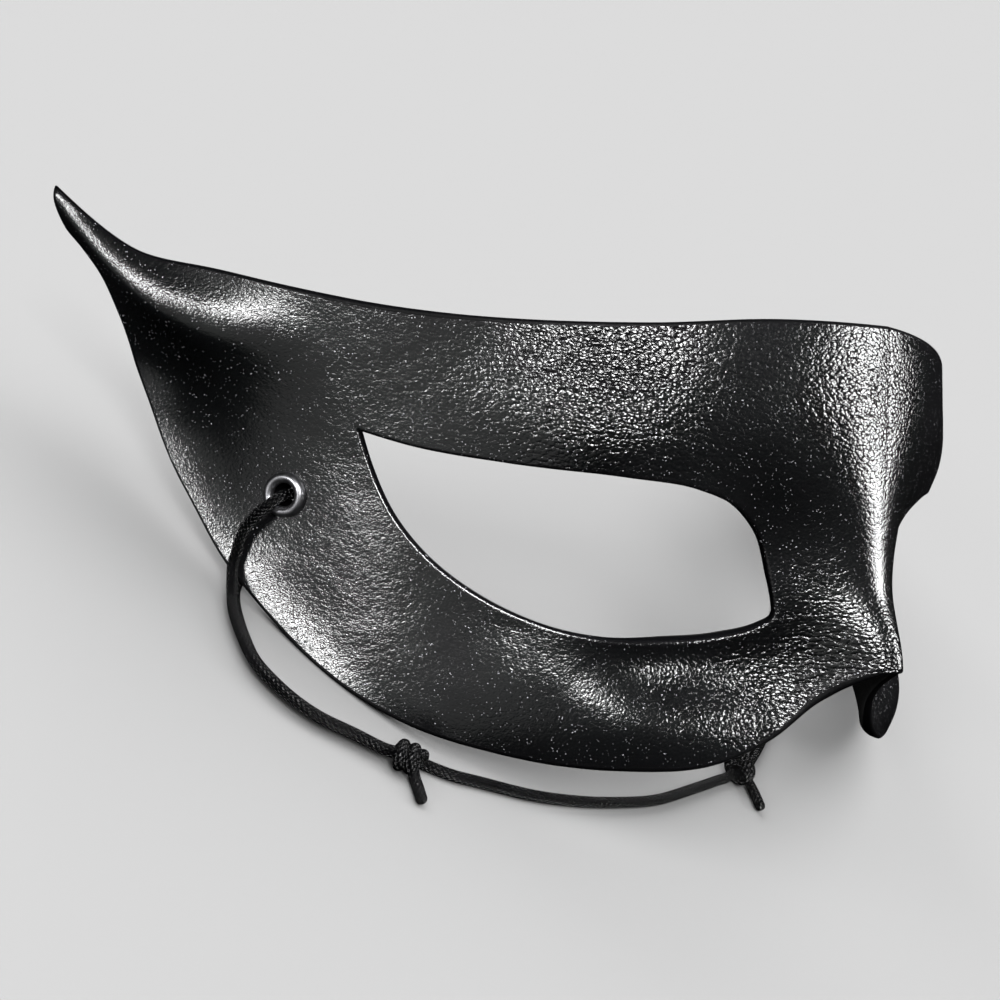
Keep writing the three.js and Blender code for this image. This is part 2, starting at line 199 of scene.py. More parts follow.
# Shading fitted to the photograph's highlights, which moves no point of the mesh: how far it turns from the
# mesh's own directions, forwards and up along the horn's ridge and the rolled edge, and down on the cheek
RIDGE_LEAN = dict(forward=-0.4, up=0.58, width=2.7, start=84, full=108)
ROLL_LEAN = dict(forward=-0.3, up=0.38, width=7.5, start=66, full=88, turning=104, top=40, fading=20)
ROLL_EDGE = LOWER_EDGE[5:14]
CHEEK_LEAN = (47, -7, 14, 8, 0, -0.2)

# Where the hide is wrinkled coarsely: the brow, beside the nose and the middle of the brow
COARSE_SPOTS = [(44, 41, 14, 15, 0, 1.0), (14, -2, 18, 12, 0, 1.0), (5, 45, 13, 14, 0, 0.6)]

# Eyelets: half of a ring's section, and how many steps round it
EYELET_SECTION = dict(bore=1.85, rim=3.6, barrel=2.45, crown=1.35, lip=0.25, back_rim=3.3, throat=0.95,
                      back_roll=0.75, back_gap=0.1)
EYELET_SIDES = 72

# Rows of an eyelet's mesh, each side of where its two halves meet in the bore, painted black as shade in the
# hole
EYELET_PAINTED_SHADE_ROWS = 3

# Looks of the leather: cells per metre of its wrinkles and glints, how deep they are, the hide's colours and
# the pale colour painted into the glints
HIDE = dict(
    sway_cells=1300, sway=0.0006, stretch=0.72, bead_cells=2000, grain_cells=4400, grain_share=0.1,
    smooth_depth=0.08, relief=0.00024, glint_cells=1300, fine_glint_cells=2100, fewest_glints=0.04,
    most_glints=0.11, glint_metal=0.35, patch_cells=300, worn_cells=60, gloss_cells=2600,
)
HIDE_GLOSS = (0.15, 0.23)
DYE, WORN_DYE, PAINTED_GLINT = (0.0008, 0.0008, 0.0009), (0.0018, 0.0018, 0.002), (0.3, 0.3, 0.32)

# Looks of the cut edges, the flesh side, the eyelets and the cord: cells per metre, relief, gloss and colours
EDGE_CELLS, EDGE_RELIEF, EDGE_GLOSS = 2600, 0.00008, (0.34, 0.55)
EDGE_DARK, EDGE_PALE = (0.0002, 0.0002, 0.0003), (0.0008, 0.0008, 0.0009)
NAP_CELLS, NAP_PATCH_CELLS, NAP_RELIEF, NAP_GLOSS = 3500, 110, 0.00012, (0.7, 0.9)
FLESH_DARK, FLESH_PALE = (0.002, 0.002, 0.002), (0.0055, 0.0055, 0.0055)
NICKEL_CELLS, SCRATCH_CELLS, NICKEL_RELIEF, NICKEL_GLOSS = 900, 2500, 0.00005, (0.3, 0.42)
NICKEL_DARK, NICKEL_PALE = (0.17, 0.17, 0.18), (0.26, 0.26, 0.27)
FUZZ_CELLS, CORD_PATCH_CELLS, BRAID_RELIEF, CORD_GLOSS = 9000, 1200, 0.00045, (0.15, 0.26)
CORD_DARK, CORD_PALE = (0.0002, 0.0002, 0.0003), (0.001, 0.001, 0.0011)

# Shine of each dull or glossy surface, as its specular level
HIDE_SHINE, EDGE_SHINE, FLESH_SHINE, CORD_SHINE = 0.5, 0.06, 0.06, 0.3

# A noise's middle stretch, which the gloss and colour ranges are laid over, and a narrower one for glints
NOISE_SPREAD = (0.3, 0.7)
PATCH_SPREAD = (0.35, 0.65)

# Studio: the table, the backdrop, and each lamp's way round, height, width in degrees, power and mirroring
FLOOR_GREY = 0.071
BACKDROP_GREY = 0.70
TABLE_HALF = 40.0
TABLE_DROP = 0.0001
LAMPS = [
    ("left_lamp", -172, 18, 14, 2.4, True),
    ("left_haze", -160, 5, 70, 0.5, True),
    ("right_lamp", -35, 32, 24, 4.0, True),
    ("brow_lamp", -129, 52, 19, 5.8, True),
    ("overhead_fill", 80, 68, 100, 26, False),
]


def look_through_camera():
    right, up = Vector(CAMERA_RIGHT), Vector(CAMERA_UP)
    back = right.cross(up)
    data = bpy.data.cameras.new("camera")
    data.lens = LENS
    data.sensor_width = SENSOR
    camera = bpy.data.objects.new("camera", data)
    turn = Matrix((right, up, back)).transposed().to_4x4()
    camera.matrix_world = Matrix.Translation(CAMERA_PLACE) @ turn
    bpy.context.collection.objects.link(camera)
    bpy.context.scene.camera = camera


def blend(x):
    x = np.clip(x, 0, 1)
    return x * x * (3 - 2 * x)


def add_mesh(name, points, faces, smooth=True):
    mesh = bpy.data.meshes.new(name)
    mesh.from_pydata([tuple(p) for p in points], [], faces)
    mesh.validate()
    mesh.polygons.foreach_set("use_smooth", [smooth] * len(mesh.polygons))
    piece = bpy.data.objects.new(name, mesh)
    bpy.context.collection.objects.link(piece)
    return piece


# Centripetal Catmull-Rom curve, resampled to even steps
def through(points, step):
    given = np.array(points, float)
    ends = [2 * given[0] - given[1], *given, 2 * given[-1] - given[-2]]
    dense = []
    for p0, p1, p2, p3 in zip(ends, ends[1:], ends[2:], ends[3:]):
        t0 = 0.0
        t1 = t0 + np.linalg.norm(p1 - p0) ** 0.5
        t2 = t1 + np.linalg.norm(p2 - p1) ** 0.5
        t3 = t2 + np.linalg.norm(p3 - p2) ** 0.5
        for t in np.linspace(t1, t2, CURVE_STEPS, endpoint=False):
            a1 = (t1 - t) / (t1 - t0) * p0 + (t - t0) / (t1 - t0) * p1
            a2 = (t2 - t) / (t2 - t1) * p1 + (t - t1) / (t2 - t1) * p2
            a3 = (t3 - t) / (t3 - t2) * p2 + (t - t2) / (t3 - t2) * p3
            b1 = (t2 - t) / (t2 - t0) * a1 + (t - t0) / (t2 - t0) * a2
            b2 = (t3 - t) / (t3 - t1) * a2 + (t - t1) / (t3 - t1) * a3
            dense.append((t2 - t) / (t2 - t1) * b1 + (t - t1) / (t2 - t1) * b2)
    dense = np.array([*dense, given[-1]])
    along = np.r_[0, np.cumsum(np.linalg.norm(np.diff(dense, axis=0), axis=1))]
    count = max(2, round(along[-1] / step))
    even = np.linspace(0, along[-1], count + 1)
    return np.stack([np.interp(even, along, dense[:, axis]) for axis in range(3)], -1)


# A round tube along a line, with its turn and its length in girths as texture coordinates
def tube(name, line, radius, around=CORD_SIDES, round_end=()):
    tangent = np.gradient(line, axis=0)
    tangent /= np.linalg.norm(tangent, axis=1, keepdims=True)
    side = np.cross(tangent[0], (0.0, 0.0, 1.0))
    if np.linalg.norm(side) < 0.1:
        side = np.cross(tangent[0], (0.0, 1.0, 0.0))
    along = np.r_[0, np.cumsum(np.linalg.norm(np.diff(line, axis=0), axis=1))]
    points = []
    angles = np.linspace(0, 2 * math.pi, around, endpoint=False)
    for i, (centre, forward) in enumerate(zip(line, tangent)):
        side = side - forward * side.dot(forward)
        side /= np.linalg.norm(side)
        up = np.cross(forward, side)
        reach = np.full(around, radius)
        for end, distance in ((0, along[i]), (1, along[-1] - along[i])):
            if end in round_end and distance < radius:
                reach = reach * math.sqrt(max(ROUND_END_TIP, 1 - (1 - distance / radius) ** 2))
        for angle, far in zip(angles, reach):
            points.append(centre + far * (math.cos(angle) * side + math.sin(angle) * up))
    faces = []
    for i in range(len(line) - 1):
        for j in range(around):
            k = (j + 1) % around
            faces.append((i * around + j, i * around + k, (i + 1) * around + k, (i + 1) * around + j))
    faces.append(tuple(reversed(range(around))))
    faces.append(tuple(range((len(line) - 1) * around, len(line) * around)))
    piece = add_mesh(name, points, faces)
    layer = piece.data.uv_layers.new(name="along")
    for polygon in piece.data.polygons:
        if len(polygon.vertices) != 4:
            continue
        for loop in polygon.loop_indices:
            vertex = piece.data.loops[loop].vertex_index
            ring, spot = divmod(vertex, around)
            closing = spot == 0 and any(v % around == around - 1 for v in polygon.vertices)
            turn = 1.0 if closing else spot / around
            layer.data[loop].uv = (turn, along[ring] / (2 * math.pi * radius))
    return piece


look_through_camera()

near_line = through(NEAR_OUTER + [NEAR_KNOT] + MIDDLE_RUN + [FAR_KNOT] + FAR_OUTER, STRAND_STEP)
near_back_line = through(NEAR_INNER + [NEAR_KNOT] + NEAR_TAIL, STRAND_STEP)
far_back_line = through(FAR_INNER + [FAR_KNOT] + FAR_TAIL, STRAND_STEP)
across = tube("cord_across", near_line, CORD / 2)
near_return = tube("cord_near_return", near_back_line, CORD / 2, round_end=(1,))
far_return = tube("cord_far_return", far_back_line, CORD / 2, round_end=(1,))


# A tied knot: two slanting wraps round the strands that pass through it, with their ends tucked in
def knot(name, place, heading, hand):
    axis = np.array((math.cos(heading), math.sin(heading), 0.0))
    aside = np.array((-axis[1], axis[0], 0.0))
    up = np.array((0.0, 0.0, 1.0))
    line = []
    for t in np.linspace(0, 1, KNOT_STEPS):
        turn = 2 * math.pi * KNOT["turns"] * (t - 0.5)
        tuck = blend(min(t, 1 - t) / KNOT["tuck"])
        reach = KNOT["tucked"] + (1 - KNOT["tucked"]) * tuck
        wide = KNOT["wide"] * reach * math.cos(turn)
        high = KNOT["high"] * reach * math.sin(turn) * hand
        along = KNOT["pitch"] * KNOT["turns"] * (t - 0.5) + KNOT["slant"] * wide
        line.append(np.array(place) + along * axis + wide * aside + high * up)
    return tube(name, np.array(line), CORD / 2, around=KNOT_SIDES)


near_tied = knot("knot_near_tied", NEAR_KNOT, math.radians(NEAR_KNOT_HEADING), 1)
far_tied = knot("knot_far_tied", FAR_KNOT, math.radians(FAR_KNOT_HEADING), -1)

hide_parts("cord_near_outer", "cord_middle", "cord_far_outer")
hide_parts("cord_near_inner", "cord_near_tail")
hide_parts("cord_far_inner", "cord_far_tail")
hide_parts("knot_near")
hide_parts("knot_far")
for piece in (across, near_return, far_return, near_tied, far_tied):
    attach(piece, "root")


# The leather's shape, the same as the solid's but finer
def slopes(at, value):
    gap = np.diff(at)
    rise = np.diff(value) / gap
    slope = np.zeros(len(value))
    slope[1:-1] = (gap[1:] * rise[:-1] + gap[:-1] * rise[1:]) / (gap[:-1] + gap[1:])
    slope[0] = 1.5 * rise[0] - 0.5 * slope[1]
    slope[-1] = 1.5 * rise[-1] - 0.5 * slope[-2]
    return slope


def level_slopes(at, value):
    gap = np.diff(at)
    rise = np.diff(value) / gap
    slope = np.r_[rise[0], np.zeros(len(value) - 2), rise[-1]]
    for i in range(1, len(value) - 1):
        if rise[i - 1] * rise[i] > 0:
            before = 2 * gap[i] + gap[i - 1]
            after = gap[i] + 2 * gap[i - 1]
            slope[i] = (before + after) / (before / rise[i - 1] + after / rise[i])
    return slope


def hermite(at, value, slope, x):
    x = np.asarray(x, float)
    i = np.clip(np.searchsorted(at, x, side="right") - 1, 0, len(at) - 2)
    gap = at[i + 1] - at[i]
    t = (x - at[i]) / gap
    start = (1 + 2 * t) * (1 - t) ** 2
    bow = gap * t * (1 - t) * ((1 - t) * slope[i] - t * slope[i + 1])
    return start * value[i] + (1 - start) * value[i + 1] + bow


def curve_through(points):
    given = np.array(points, float)
    at = np.r_[0, np.cumsum(np.hypot(*np.diff(given, axis=0).T))]
    slope = [slopes(at, given[:, axis]) for axis in (0, 1)]

    def place(share):
        x = np.asarray(share) * at[-1]
        return np.stack([hermite(at, given[:, axis], slope[axis], x) for axis in (0, 1)], -1)
    return place


HEIGHTS, FORWARDS, WIDTHS = PROFILE.T
FORWARD_SLOPES = level_slopes(HEIGHTS, FORWARDS)
WIDTH_SLOPES = level_slopes(HEIGHTS, WIDTHS)


def lump(row, s, v):
    place, height, length, width, turn, rise = row
    c, d = math.cos(math.radians(turn)), math.sin(math.radians(turn))
    along = ((s - place) * c + (v - height) * d) / length
    across = (-(s - place) * d + (v - height) * c) / width
    return rise * np.exp(-along * along - across * across)


# The height that the horn's ridge runs at
def ridge_line(s):
    out = np.maximum(0, (s - RIDGE["bend"]) / RIDGE["reach"])
    return RIDGE["height"] + RIDGE["climb"] * out * out


def ridge(s, v):
    grow = blend((s - RIDGE["start"]) / (RIDGE["full"] - RIDGE["start"]))
    fade = 1 - RIDGE["fade"] * blend((s - RIDGE["full"]) / (RIDGE["faded"] - RIDGE["full"]))
    return RIDGE["rise"] * grow * fade * np.exp(-((v - ridge_line(s)) / RIDGE["width"]) ** 2)


def outer_face(s, v):
    turn = s / ARC
    side = HALF_WIDTH + BROW_FLARE / 2 * (v - FLARE_START + np.hypot(v - FLARE_START, FLARE_BLEND))
    front = FACE_FRONT + FACE_LEAN * (v - FACE_MIDDLE)
    middle = hermite(HEIGHTS, FORWARDS, FORWARD_SLOPES, v)
    nose = hermite(HEIGHTS, WIDTHS, WIDTH_SLOPES, v)
    rise = sum(lump(row, s, v) for row in LUMPS) + ridge(s, v)
    x = (side + rise) * np.sin(turn)
    y = front - OVAL_DEPTH * (1 - np.cos(turn)) + (middle - front) * np.exp(-(s / nose) ** 2)
    return np.stack([x, y + rise * np.cos(turn), v], -1)


def outward(s, v):
    step = 0.05
    turn = outer_face(s + step, v) - outer_face(s - step, v)
    up = outer_face(s, v + step) - outer_face(s, v - step)
    normal = -np.cross(turn, up)
    return normal / np.linalg.norm(normal, axis=-1, keepdims=True)


# The leather is pared thinner towards the horn's tip
def thickness(s):
    return LEATHER * (1 - PARING["share"] * blend((s - PARING["start"]) / (PARING["full"] - PARING["start"])))


def inner_face(s, v):
    inner = outer_face(s, v) - thickness(s)[..., None] * outward(s, v)
    inner[..., 0] = np.where(s == 0, 0, np.maximum(inner[..., 0], NARROWEST_INSIDE * s))
    inner[..., 1] = np.minimum(inner[..., 1], outer_face(0 * s, v)[..., 1] - LEATHER)
    return inner


def laid(points):
    c, d = math.cos(math.radians(TILT)), math.sin(math.radians(TILT))
    y = points[..., 2] * c - points[..., 1] * d + REST_SHIFT
    z = points[..., 2] * d + points[..., 1] * c + REST_LIFT
    return np.stack([-points[..., 0], y, np.maximum(z, 0)], -1)


def edge_pairs():
    middle = [(0, 0), (0, TOP_EDGE[0][1] / 2), TOP_EDGE[0]]
    runs = [
        (middle, EYE_UPPER, MIDDLE_MATCH, MIDDLE_STEPS),
        (TOP_EDGE, EYE_UPPER, TOP_MATCH, TOP_STEPS),
        (LOWER_EDGE, EYE_LOWER, LOWER_MATCH, LOWER_STEPS),
    ]
    edges, eyes = [], []
    for edge, eye, match, steps in runs:
        share = np.arange(steps) / steps
        edges.append(curve_through(edge)(share))
        eyes.append(curve_through(eye)(np.interp(share, *zip(*match))))
    return np.vstack(edges), np.vstack(eyes)


# How far each flat position is from the nearest cut edge of the leather
def cut_distance(flat, edge, eye):
    nearest = np.full(len(flat), 1e9)
    for line in (np.vstack([edge[MIDDLE_STEPS:], [(0, 0)]]), np.vstack([eye, eye[:1]])):
        for a, b in zip(line[:-1], line[1:]):
            along = b - a
            t = np.clip((flat - a) @ along / max(along @ along, 1e-12), 0, 1)
            gap = flat - a - t[:, None] * along
            nearest = np.minimum(nearest, np.hypot(gap[:, 0], gap[:, 1]))
    return nearest


# Shares of the way from the outer edge to the eye hole, closer together at both ends
def shares_across(width, steps, near):
    ends = near[None, :] / width[:, None]
    inside = np.linspace(0, 1, steps + 2)[None, 1:-1]
    first = ends[:, -1:]
    middle = first + (1 - 2 * first) * inside
    return np.hstack([ends, middle, 1 - ends[:, ::-1]])


def leather_shell():
    edge, eye = edge_pairs()
    width = np.hypot(*(eye - edge).T)
    around = len(edge)
    points, flats, faces, looks, rings = [], [], [], [], []
    skins = (("face", FACE_STEPS, NEAR_EDGE), ("back", BACK_STEPS, NEAR_EDGE_BACK))
    for side in (1, -1):
        for skin, steps, near in skins:
            share = shares_across(width, steps, near)
            flat = edge[:, None] + (eye - edge)[:, None] * share[..., None]
            droop = HORN_BOW["droop"] * blend((edge[:, :1] - HORN_BOW["start"]) / HORN_BOW["run"])
            flat[..., 1] -= droop * 4 * share * (1 - share)
            s, v = flat[..., 0].ravel(), flat[..., 1].ravel()
            off = np.clip(EDGE_ROUND - cut_distance(np.stack([s, v], -1), edge, eye), 0, EDGE_ROUND)
            sink = EDGE_ROUND - np.sqrt(EDGE_ROUND ** 2 - off ** 2)
            if skin == "face":
                place = outer_face(s, v) - (sink - handwork(s * side, v))[:, None] * outward(s, v)
            else:
                place = inner_face(s, v) + sink[:, None] * outward(s, v)
            place[:, 0] = np.where(s == 0, 0, place[:, 0] * side)
            start = len(points)
            points.extend(laid(place) * MM)
            flats.extend(np.stack([s * side, v], -1))
            rings.append((start, share.shape[1]))
    for number, (start, across) in enumerate(rings):
        flip = number in (1, 2)
        on_face = number in (0, 2)
        for i in range(around):
            here, there = start + i * across, start + (i + 1) % around * across
            for j in range(across - 1):
                quad = (here + j, there + j, there + j + 1, here + j + 1)
                faces.append(quad[::-1] if flip else quad)
                burnished = j < BURNISHED_ROWS and i >= MIDDLE_STEPS
                looks.append((CUT if burnished else FACE) if on_face else FLESH)
    for number in (0, 2):
        (face, wide), (back, narrow) = rings[number], rings[number + 1]
        for i in range(around):
            k = (i + 1) % around
            rim = (face + i * wide + wide - 1, face + k * wide + wide - 1,
                   back + k * narrow + narrow - 1, back + i * narrow + narrow - 1)
            faces.append(rim[::-1] if number else rim)
            looks.append(CUT)
            if i >= MIDDLE_STEPS:
                rim = (face + k * wide, face + i * wide, back + i * narrow, back + k * narrow)
                faces.append(rim[::-1] if number else rim)
                looks.append(CUT)
    shell = add_mesh("mask_leather", points, faces)
    mesh = shell.data
    mesh.polygons.foreach_set("material_index", looks)
    flats = np.array(flats)
    spread = flats[np.array([loop.vertex_index for loop in mesh.loops])]
    mesh.uv_layers.new(name="hide").data.foreach_set("uv", (spread * MM).ravel())
    coarse = mesh.attributes.new("coarse", "FLOAT", "POINT")
    coarse.data.foreach_set("value", coarseness(np.abs(flats[:, 0]), flats[:, 1]))
    lean = mesh.attributes.new("lean", "FLOAT_VECTOR", "POINT")
    lean.data.foreach_set("vector", leaning(np.abs(flats[:, 0]), flats[:, 1]).ravel())
    weld = bmesh.new()
    weld.from_mesh(mesh)
    bmesh.ops.remove_doubles(weld, verts=[x for x in weld.verts if abs(x.co.x) < SAME], dist=SAME)
    holes = []
    for side in (1, -1):
        seat, direction = eyelet_seat(side)
        for polygon in weld.faces:
            away = polygon.calc_center_median() - seat
            along = away.dot(direction)
            if abs(along) < EYELET_REACH * MM and (away - along * direction).length < EYELET_HOLE * MM:
                holes.append(polygon)
    bmesh.ops.delete(weld, geom=holes, context="FACES")
    weld.to_mesh(mesh)
    weld.free()
    tilted = [(vertex.normal + Vector(turned.vector)).normalized()
              for vertex, turned in zip(mesh.vertices, mesh.attributes["lean"].data)]
    mesh.normals_split_custom_set_from_vertices(tilted)
    return shell


# How far the shading turns at each flat position, on the face and on the flesh side alike
def leaning(s, v):
    r, e = RIDGE_LEAN, ROLL_LEAN
    crest = blend((s - r["start"]) / (r["full"] - r["start"]))
    crest = crest * np.exp(-((v - ridge_line(s)) / r["width"]) ** 2)
    across, up = zip(*reversed(ROLL_EDGE))
    roll = blend((s - e["start"]) / (e["full"] - e["start"]))
    roll = roll * np.exp(-((s - np.interp(v, up, across)) / e["width"]) ** 2)
    roll = roll * blend((e["top"] - v) / e["fading"])
    turning = blend((s - e["full"]) / (e["turning"] - e["full"]))
    forward = r["forward"] * crest + e["forward"] * roll * turning
    rise = r["up"] * crest + e["up"] * roll + lump(CHEEK_LEAN, s, v)
    return np.stack([0 * s, forward, rise], -1)


def handwork(s, v):
    wave = np.sin(s * 0.21 + 1.3 * np.sin(v * 0.13)) * np.sin(v * 0.27 + 0.9 * np.sin(s * 0.11))
    finer = np.sin(s * 0.63 + 2 * np.sin(v * 0.31)) * np.sin(v * 0.71 + 1.7 * np.sin(s * 0.29))
    return WAVE_RISE * wave + FINER_RISE * finer


def coarseness(s, v):
    return np.clip(sum(lump(row, s, v) for row in COARSE_SPOTS), 0, 1)


def eyelet_seat(side):
    s, v = np.array(EYELET_PLACE[0]), np.array(EYELET_PLACE[1])
    seat = laid(outer_face(s, v))
    tip = laid(outer_face(s, v) + outward(s, v))
    direction = Vector(tip - seat)
    seat = Vector(seat) * MM
    seat.x *= side
    direction.x *= side
    return seat, direction.normalized()


leather_piece = leather_shell()
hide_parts("mask_shell")
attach(leather_piece, "root")


# Materials
class Nodes:
    def __init__(self, name):
        self.material = bpy.data.materials.new(name)
        self.material.use_nodes = True
        self.tree = self.material.node_tree
        self.shader = self.tree.nodes["Principled BSDF"]

    def node(self, kind, **inputs):
        made = self.tree.nodes.new(kind)
        for socket, value in inputs.items():
            self.feed(made, socket, value)
        return made

    def join(self, target, value):
        if isinstance(value, bpy.types.NodeSocket):
            self.tree.links.new(value, target)
        else:
            target.default_value = value

    def feed(self, node, socket, value):
        self.join(next(x for x in node.inputs if x.name.replace(" ", "_") == socket), value)

    def math(self, operation, a, b=0.0):
        made = self.tree.nodes.new("ShaderNodeMath")
        made.operation = operation
        for target, value in zip(made.inputs, (a, b)):
            self.join(target, value)
        return made.outputs[0]

    def range(self, value, low, high, to_low, to_high):
        made = self.tree.nodes.new("ShaderNodeMapRange")
        self.tree.links.new(value, made.inputs[0])
        for target, number in zip(made.inputs[1:5], (low, high, to_low, to_high)):
            target.default_value = number
        return made.outputs[0]

    def attribute(self, name):
        made = self.tree.nodes.new("ShaderNodeAttribute")
        made.attribute_name = name
        return made.outputs["Fac"]

    def uv(self, name):
        made = self.tree.nodes.new("ShaderNodeUVMap")
        made.uv_map = name
        return made.outputs[0]

    def noise(self, vector, scale, detail):
        made = self.node("ShaderNodeTexNoise", Vector=vector, Scale=scale, Detail=detail)
        return made.outputs["Fac"]

    def cells(self, vector, scale):
        made = self.node("ShaderNodeTexVoronoi", Vector=vector, Scale=scale)
        return made.outputs["Distance"]

    def mix_colours(self, share, one, other):
        made = self.tree.nodes.new("ShaderNodeMix")
        made.data_type = "RGBA"
        colours = [x for x in made.inputs if x.type == "RGBA"]
        self.tree.links.new(share, made.inputs[0])
        for target, colour in zip(colours, (one, other)):
            self.join(target, (*colour, 1) if isinstance(colour, tuple) else colour)
        return next(x for x in made.outputs if x.type == "RGBA")

    def bump(self, height, strength, distance):
        made = self.node("ShaderNodeBump", Height=height, Strength=strength, Distance=distance)
        return made.outputs[0]


def leather_material():
    n = Nodes("black_leather")
    flat = n.uv("hide")
    coarse = n.attribute("coarse")
    sway = n.node("ShaderNodeTexNoise", Vector=flat, Scale=HIDE["sway_cells"], Detail=1.0).outputs["Color"]
    hide = n.tree.nodes.new("ShaderNodeVectorMath")
    hide.operation = "MULTIPLY_ADD"
    n.tree.links.new(sway, hide.inputs[0])
    hide.inputs[1].default_value = (HIDE["sway"], HIDE["sway"], 0)
    n.tree.links.new(flat, hide.inputs[2])
    hide = n.node("ShaderNodeMapping", Vector=hide.outputs[0])
    hide.inputs["Scale"].default_value = (HIDE["stretch"], 1.0, 1.0)
    hide = hide.outputs[0]
    bead = n.math("POWER", n.cells(hide, HIDE["bead_cells"]), 2.0)
    grain = n.math("POWER", n.cells(hide, HIDE["grain_cells"]), 2.0)
    depth = n.range(coarse, 0.0, 1.0, HIDE["smooth_depth"], 1.0)
    beads = n.math("MULTIPLY", n.math("MULTIPLY", bead, depth), -1.0)
    relief = n.math("ADD", beads, n.math("MULTIPLY", grain, -HIDE["grain_share"]))
    n.feed(n.shader, "Normal", n.bump(relief, 1.0, HIDE["relief"]))
    patches = n.noise(flat, HIDE["patch_cells"], 2)
    spread = n.range(patches, *PATCH_SPREAD, HIDE["fewest_glints"], HIDE["most_glints"])
    # Glints: specks with some metal that mirror the lamps, and a pale colour painted into them as painted
    # glints
    large = n.math("LESS_THAN", n.cells(flat, HIDE["glint_cells"]), spread)
    small = n.math("LESS_THAN", n.cells(flat, HIDE["fine_glint_cells"]), spread)
    glints = n.math("MAXIMUM", large, small)
    n.feed(n.shader, "Metallic", n.math("MULTIPLY", glints, HIDE["glint_metal"]))
    worn = n.range(n.noise(flat, HIDE["worn_cells"], 3), *NOISE_SPREAD, 0.0, 1.0)
    dye = n.mix_colours(worn, DYE, WORN_DYE)
    n.feed(n.shader, "Base_Color", n.mix_colours(glints, dye, PAINTED_GLINT))
    gloss = n.noise(flat, HIDE["gloss_cells"], 2)
    n.feed(n.shader, "Roughness", n.range(gloss, *NOISE_SPREAD, *HIDE_GLOSS))
    n.shader.inputs["Specular IOR Level"].default_value = HIDE_SHINE
    return n.material


# The cut edges, dyed and burnished; the same near-black look is painted into the eyelets' bores as painted
# shade
def edge_material():
    n = Nodes("burnished_edge")
    place = n.tree.nodes.new("ShaderNodeTexCoord").outputs["Object"]
    fibres = n.noise(place, EDGE_CELLS, 3)
    n.feed(n.shader, "Normal", n.bump(fibres, 0.6, EDGE_RELIEF))
    n.feed(n.shader, "Base_Color", n.mix_colours(fibres, EDGE_DARK, EDGE_PALE))
    n.feed(n.shader, "Roughness", n.range(fibres, *NOISE_SPREAD, *EDGE_GLOSS))
    n.shader.inputs["Specular IOR Level"].default_value = EDGE_SHINE
    return n.material


# The flesh side: a short dull nap, dyed through
def flesh_material():
    n = Nodes("flesh_side")
    flat = n.uv("hide")
    nap = n.noise(flat, NAP_CELLS, 3)
    patches = n.noise(flat, NAP_PATCH_CELLS, 3)
    relief = n.math("ADD", nap, n.math("MULTIPLY", patches, 0.5))
    n.feed(n.shader, "Normal", n.bump(relief, 0.7, NAP_RELIEF))
    n.feed(n.shader, "Base_Color", n.mix_colours(patches, FLESH_DARK, FLESH_PALE))
    n.feed(n.shader, "Roughness", n.range(nap, *NOISE_SPREAD, *NAP_GLOSS))
    n.shader.inputs["Specular IOR Level"].default_value = FLESH_SHINE
    return n.material


def eyelet_material():
    n = Nodes("dark_nickel")
    place = n.tree.nodes.new("ShaderNodeTexCoord").outputs["Object"]
    smudge = n.noise(place, NICKEL_CELLS, 3)
    n.feed(n.shader, "Roughness", n.range(smudge, *NOISE_SPREAD, *NICKEL_GLOSS))
    n.feed(n.shader, "Base_Color", n.mix_colours(smudge, NICKEL_DARK, NICKEL_PALE))
    n.shader.inputs["Metallic"].default_value = 1.0
    n.feed(n.shader, "Normal", n.bump(n.noise(place, SCRATCH_CELLS, 2), 0.15, NICKEL_RELIEF))
    return n.material


# The braid: two sets of strands that cross, as fine relief
def cord_material():
    n = Nodes("braided_cord")
    place = n.tree.nodes.new("ShaderNodeTexCoord").outputs["Object"]
    split = n.tree.nodes.new("ShaderNodeSeparateXYZ")
    n.tree.links.new(n.uv("along"), split.inputs[0])
    turn, along = split.outputs[0], split.outputs[1]
    sets = []
    for way in ("ADD", "SUBTRACT"):
        wave = n.math("SINE", n.math("MULTIPLY", n.math(way, turn, along), math.pi * BRAID_STRANDS))
        sets.append(n.math("ABSOLUTE", wave))
    weave = n.math("ADD", n.math("MAXIMUM", *sets), n.math("MULTIPLY", n.math("MULTIPLY", *sets), 0.6))
    relief = n.math("ADD", weave, n.math("MULTIPLY", n.noise(place, FUZZ_CELLS, 2), 0.35))
    n.feed(n.shader, "Normal", n.bump(relief, 1.0, BRAID_RELIEF))
    shade = n.noise(place, CORD_PATCH_CELLS, 2)
    n.feed(n.shader, "Base_Color", n.mix_colours(shade, CORD_DARK, CORD_PALE))
    n.feed(n.shader, "Roughness", n.range(shade, *NOISE_SPREAD, *CORD_GLOSS))
    n.shader.inputs["Specular IOR Level"].default_value = CORD_SHINE
    return n.material


def paint(piece, *materials):
    for material in materials:
        piece.data.materials.append(material)


edge_and_bore_shade_look = edge_material()
paint(leather_piece, leather_material(), edge_and_bore_shade_look, flesh_material())
braid_look = cord_material()
for piece in (across, near_return, far_return, near_tied, far_tied):
    paint(piece, braid_look)


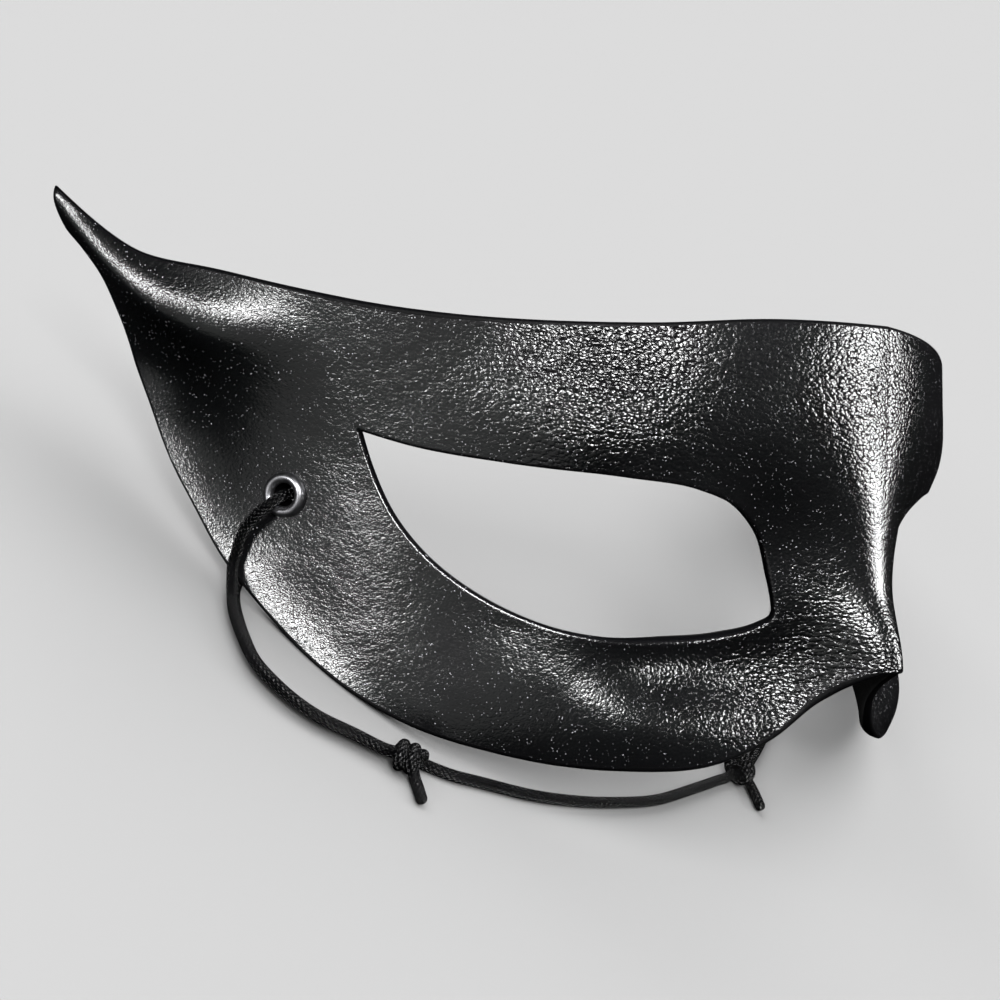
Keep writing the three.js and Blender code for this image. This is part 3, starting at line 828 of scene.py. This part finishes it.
# An eyelet: a rounded ring with a rolled back, in place of the solid's plain one
def eyelet(name, side, metal, dark):
    seat, direction = eyelet_seat(side)
    e = EYELET_SECTION
    outline = []
    middle = (e["bore"] + e["rim"]) / 2
    half = (e["rim"] - e["bore"]) / 2
    for angle in np.linspace(-12, 192, 24):
        a = math.radians(angle)
        outline.append((middle + half * math.cos(a), e["lip"] + (e["crown"] - e["lip"]) * math.sin(a)))
    back = -LEATHER - e["back_gap"]
    inside = len(outline)
    middle = (e["throat"] + e["back_rim"]) / 2
    half = (e["back_rim"] - e["throat"]) / 2
    for angle in np.linspace(168, 372, 16):
        a = math.radians(angle)
        outline.append((middle + half * math.cos(a), back + e["back_roll"] * math.sin(a)))
    outline.append((e["barrel"], back))
    outline.append((e["barrel"], e["back_gap"]))
    across_axis = direction.orthogonal().normalized()
    other_axis = direction.cross(across_axis)
    around = EYELET_SIDES
    points, faces, looks = [], [], []
    for k in range(around):
        a = 2 * math.pi * k / around
        outwards = math.cos(a) * across_axis + math.sin(a) * other_axis
        points.extend(seat + (radius * outwards + height * direction) * MM for radius, height in outline)
    wide = len(outline)
    for k in range(around):
        here, there = k * wide, (k + 1) % around * wide
        for j in range(wide):
            m = (j + 1) % wide
            faces.append((here + j, here + m, there + m, there + j))
            # Painted shade: the bore's middle rows take the near-black edge look, standing for the shade deep
            # in the hole
            looks.append(1 if abs(j + 0.5 - inside) < EYELET_PAINTED_SHADE_ROWS else 0)
    piece = add_mesh(name, points, faces)
    piece.data.polygons.foreach_set("material_index", looks)
    paint(piece, metal, dark)
    return piece


nickel = eyelet_material()
for name, side in (("eyelet_near", 1), ("eyelet_far", -1)):
    ring = eyelet(name + "_ring", side, nickel, edge_and_bore_shade_look)
    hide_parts(name)
    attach(ring, "root")


# The studio: a wide pale table, soft lamps as discs far away, and a plain backdrop
def table():
    corners = [(x * TABLE_HALF, y * TABLE_HALF, -TABLE_DROP) for x, y in ((-1, -1), (1, -1), (1, 1), (-1, 1))]
    top = add_mesh("table_top", corners, [(0, 1, 2, 3)], smooth=False)
    n = Nodes("pale_table")
    n.shader.inputs["Base Color"].default_value = (FLOOR_GREY, FLOOR_GREY, FLOOR_GREY, 1)
    n.shader.inputs["Roughness"].default_value = 1.0
    n.shader.inputs["Specular IOR Level"].default_value = 0.0
    paint(top, n.material)
    top.visible_glossy = False


# One soft lamp: the way it hangs and how wide it looks, in degrees
def lamp(name, azimuth, elevation, spread, power, mirrored):
    data = bpy.data.lights.new(name, "SUN")
    data.angle = math.radians(spread)
    data.energy = power
    light = bpy.data.objects.new(name, data)
    a, e = math.radians(azimuth), math.radians(elevation)
    towards = Vector((math.cos(e) * math.cos(a), math.cos(e) * math.sin(a), math.sin(e)))
    light.location = towards
    light.visible_glossy = mirrored
    light.rotation_euler = towards.to_track_quat("Z", "Y").to_euler()
    bpy.context.collection.objects.link(light)


def backdrop(grey):
    world = bpy.data.worlds.new("plain_backdrop")
    bpy.context.scene.world = world
    world.use_nodes = True
    world.node_tree.nodes["Background"].inputs["Color"].default_value = (grey, grey, grey, 1)
    world.cycles_visibility.diffuse = False
    world.cycles_visibility.glossy = False


table()
backdrop(BACKDROP_GREY)
for one in LAMPS:
    lamp(*one)
bpy.context.scene.view_settings.view_transform = "Standard"
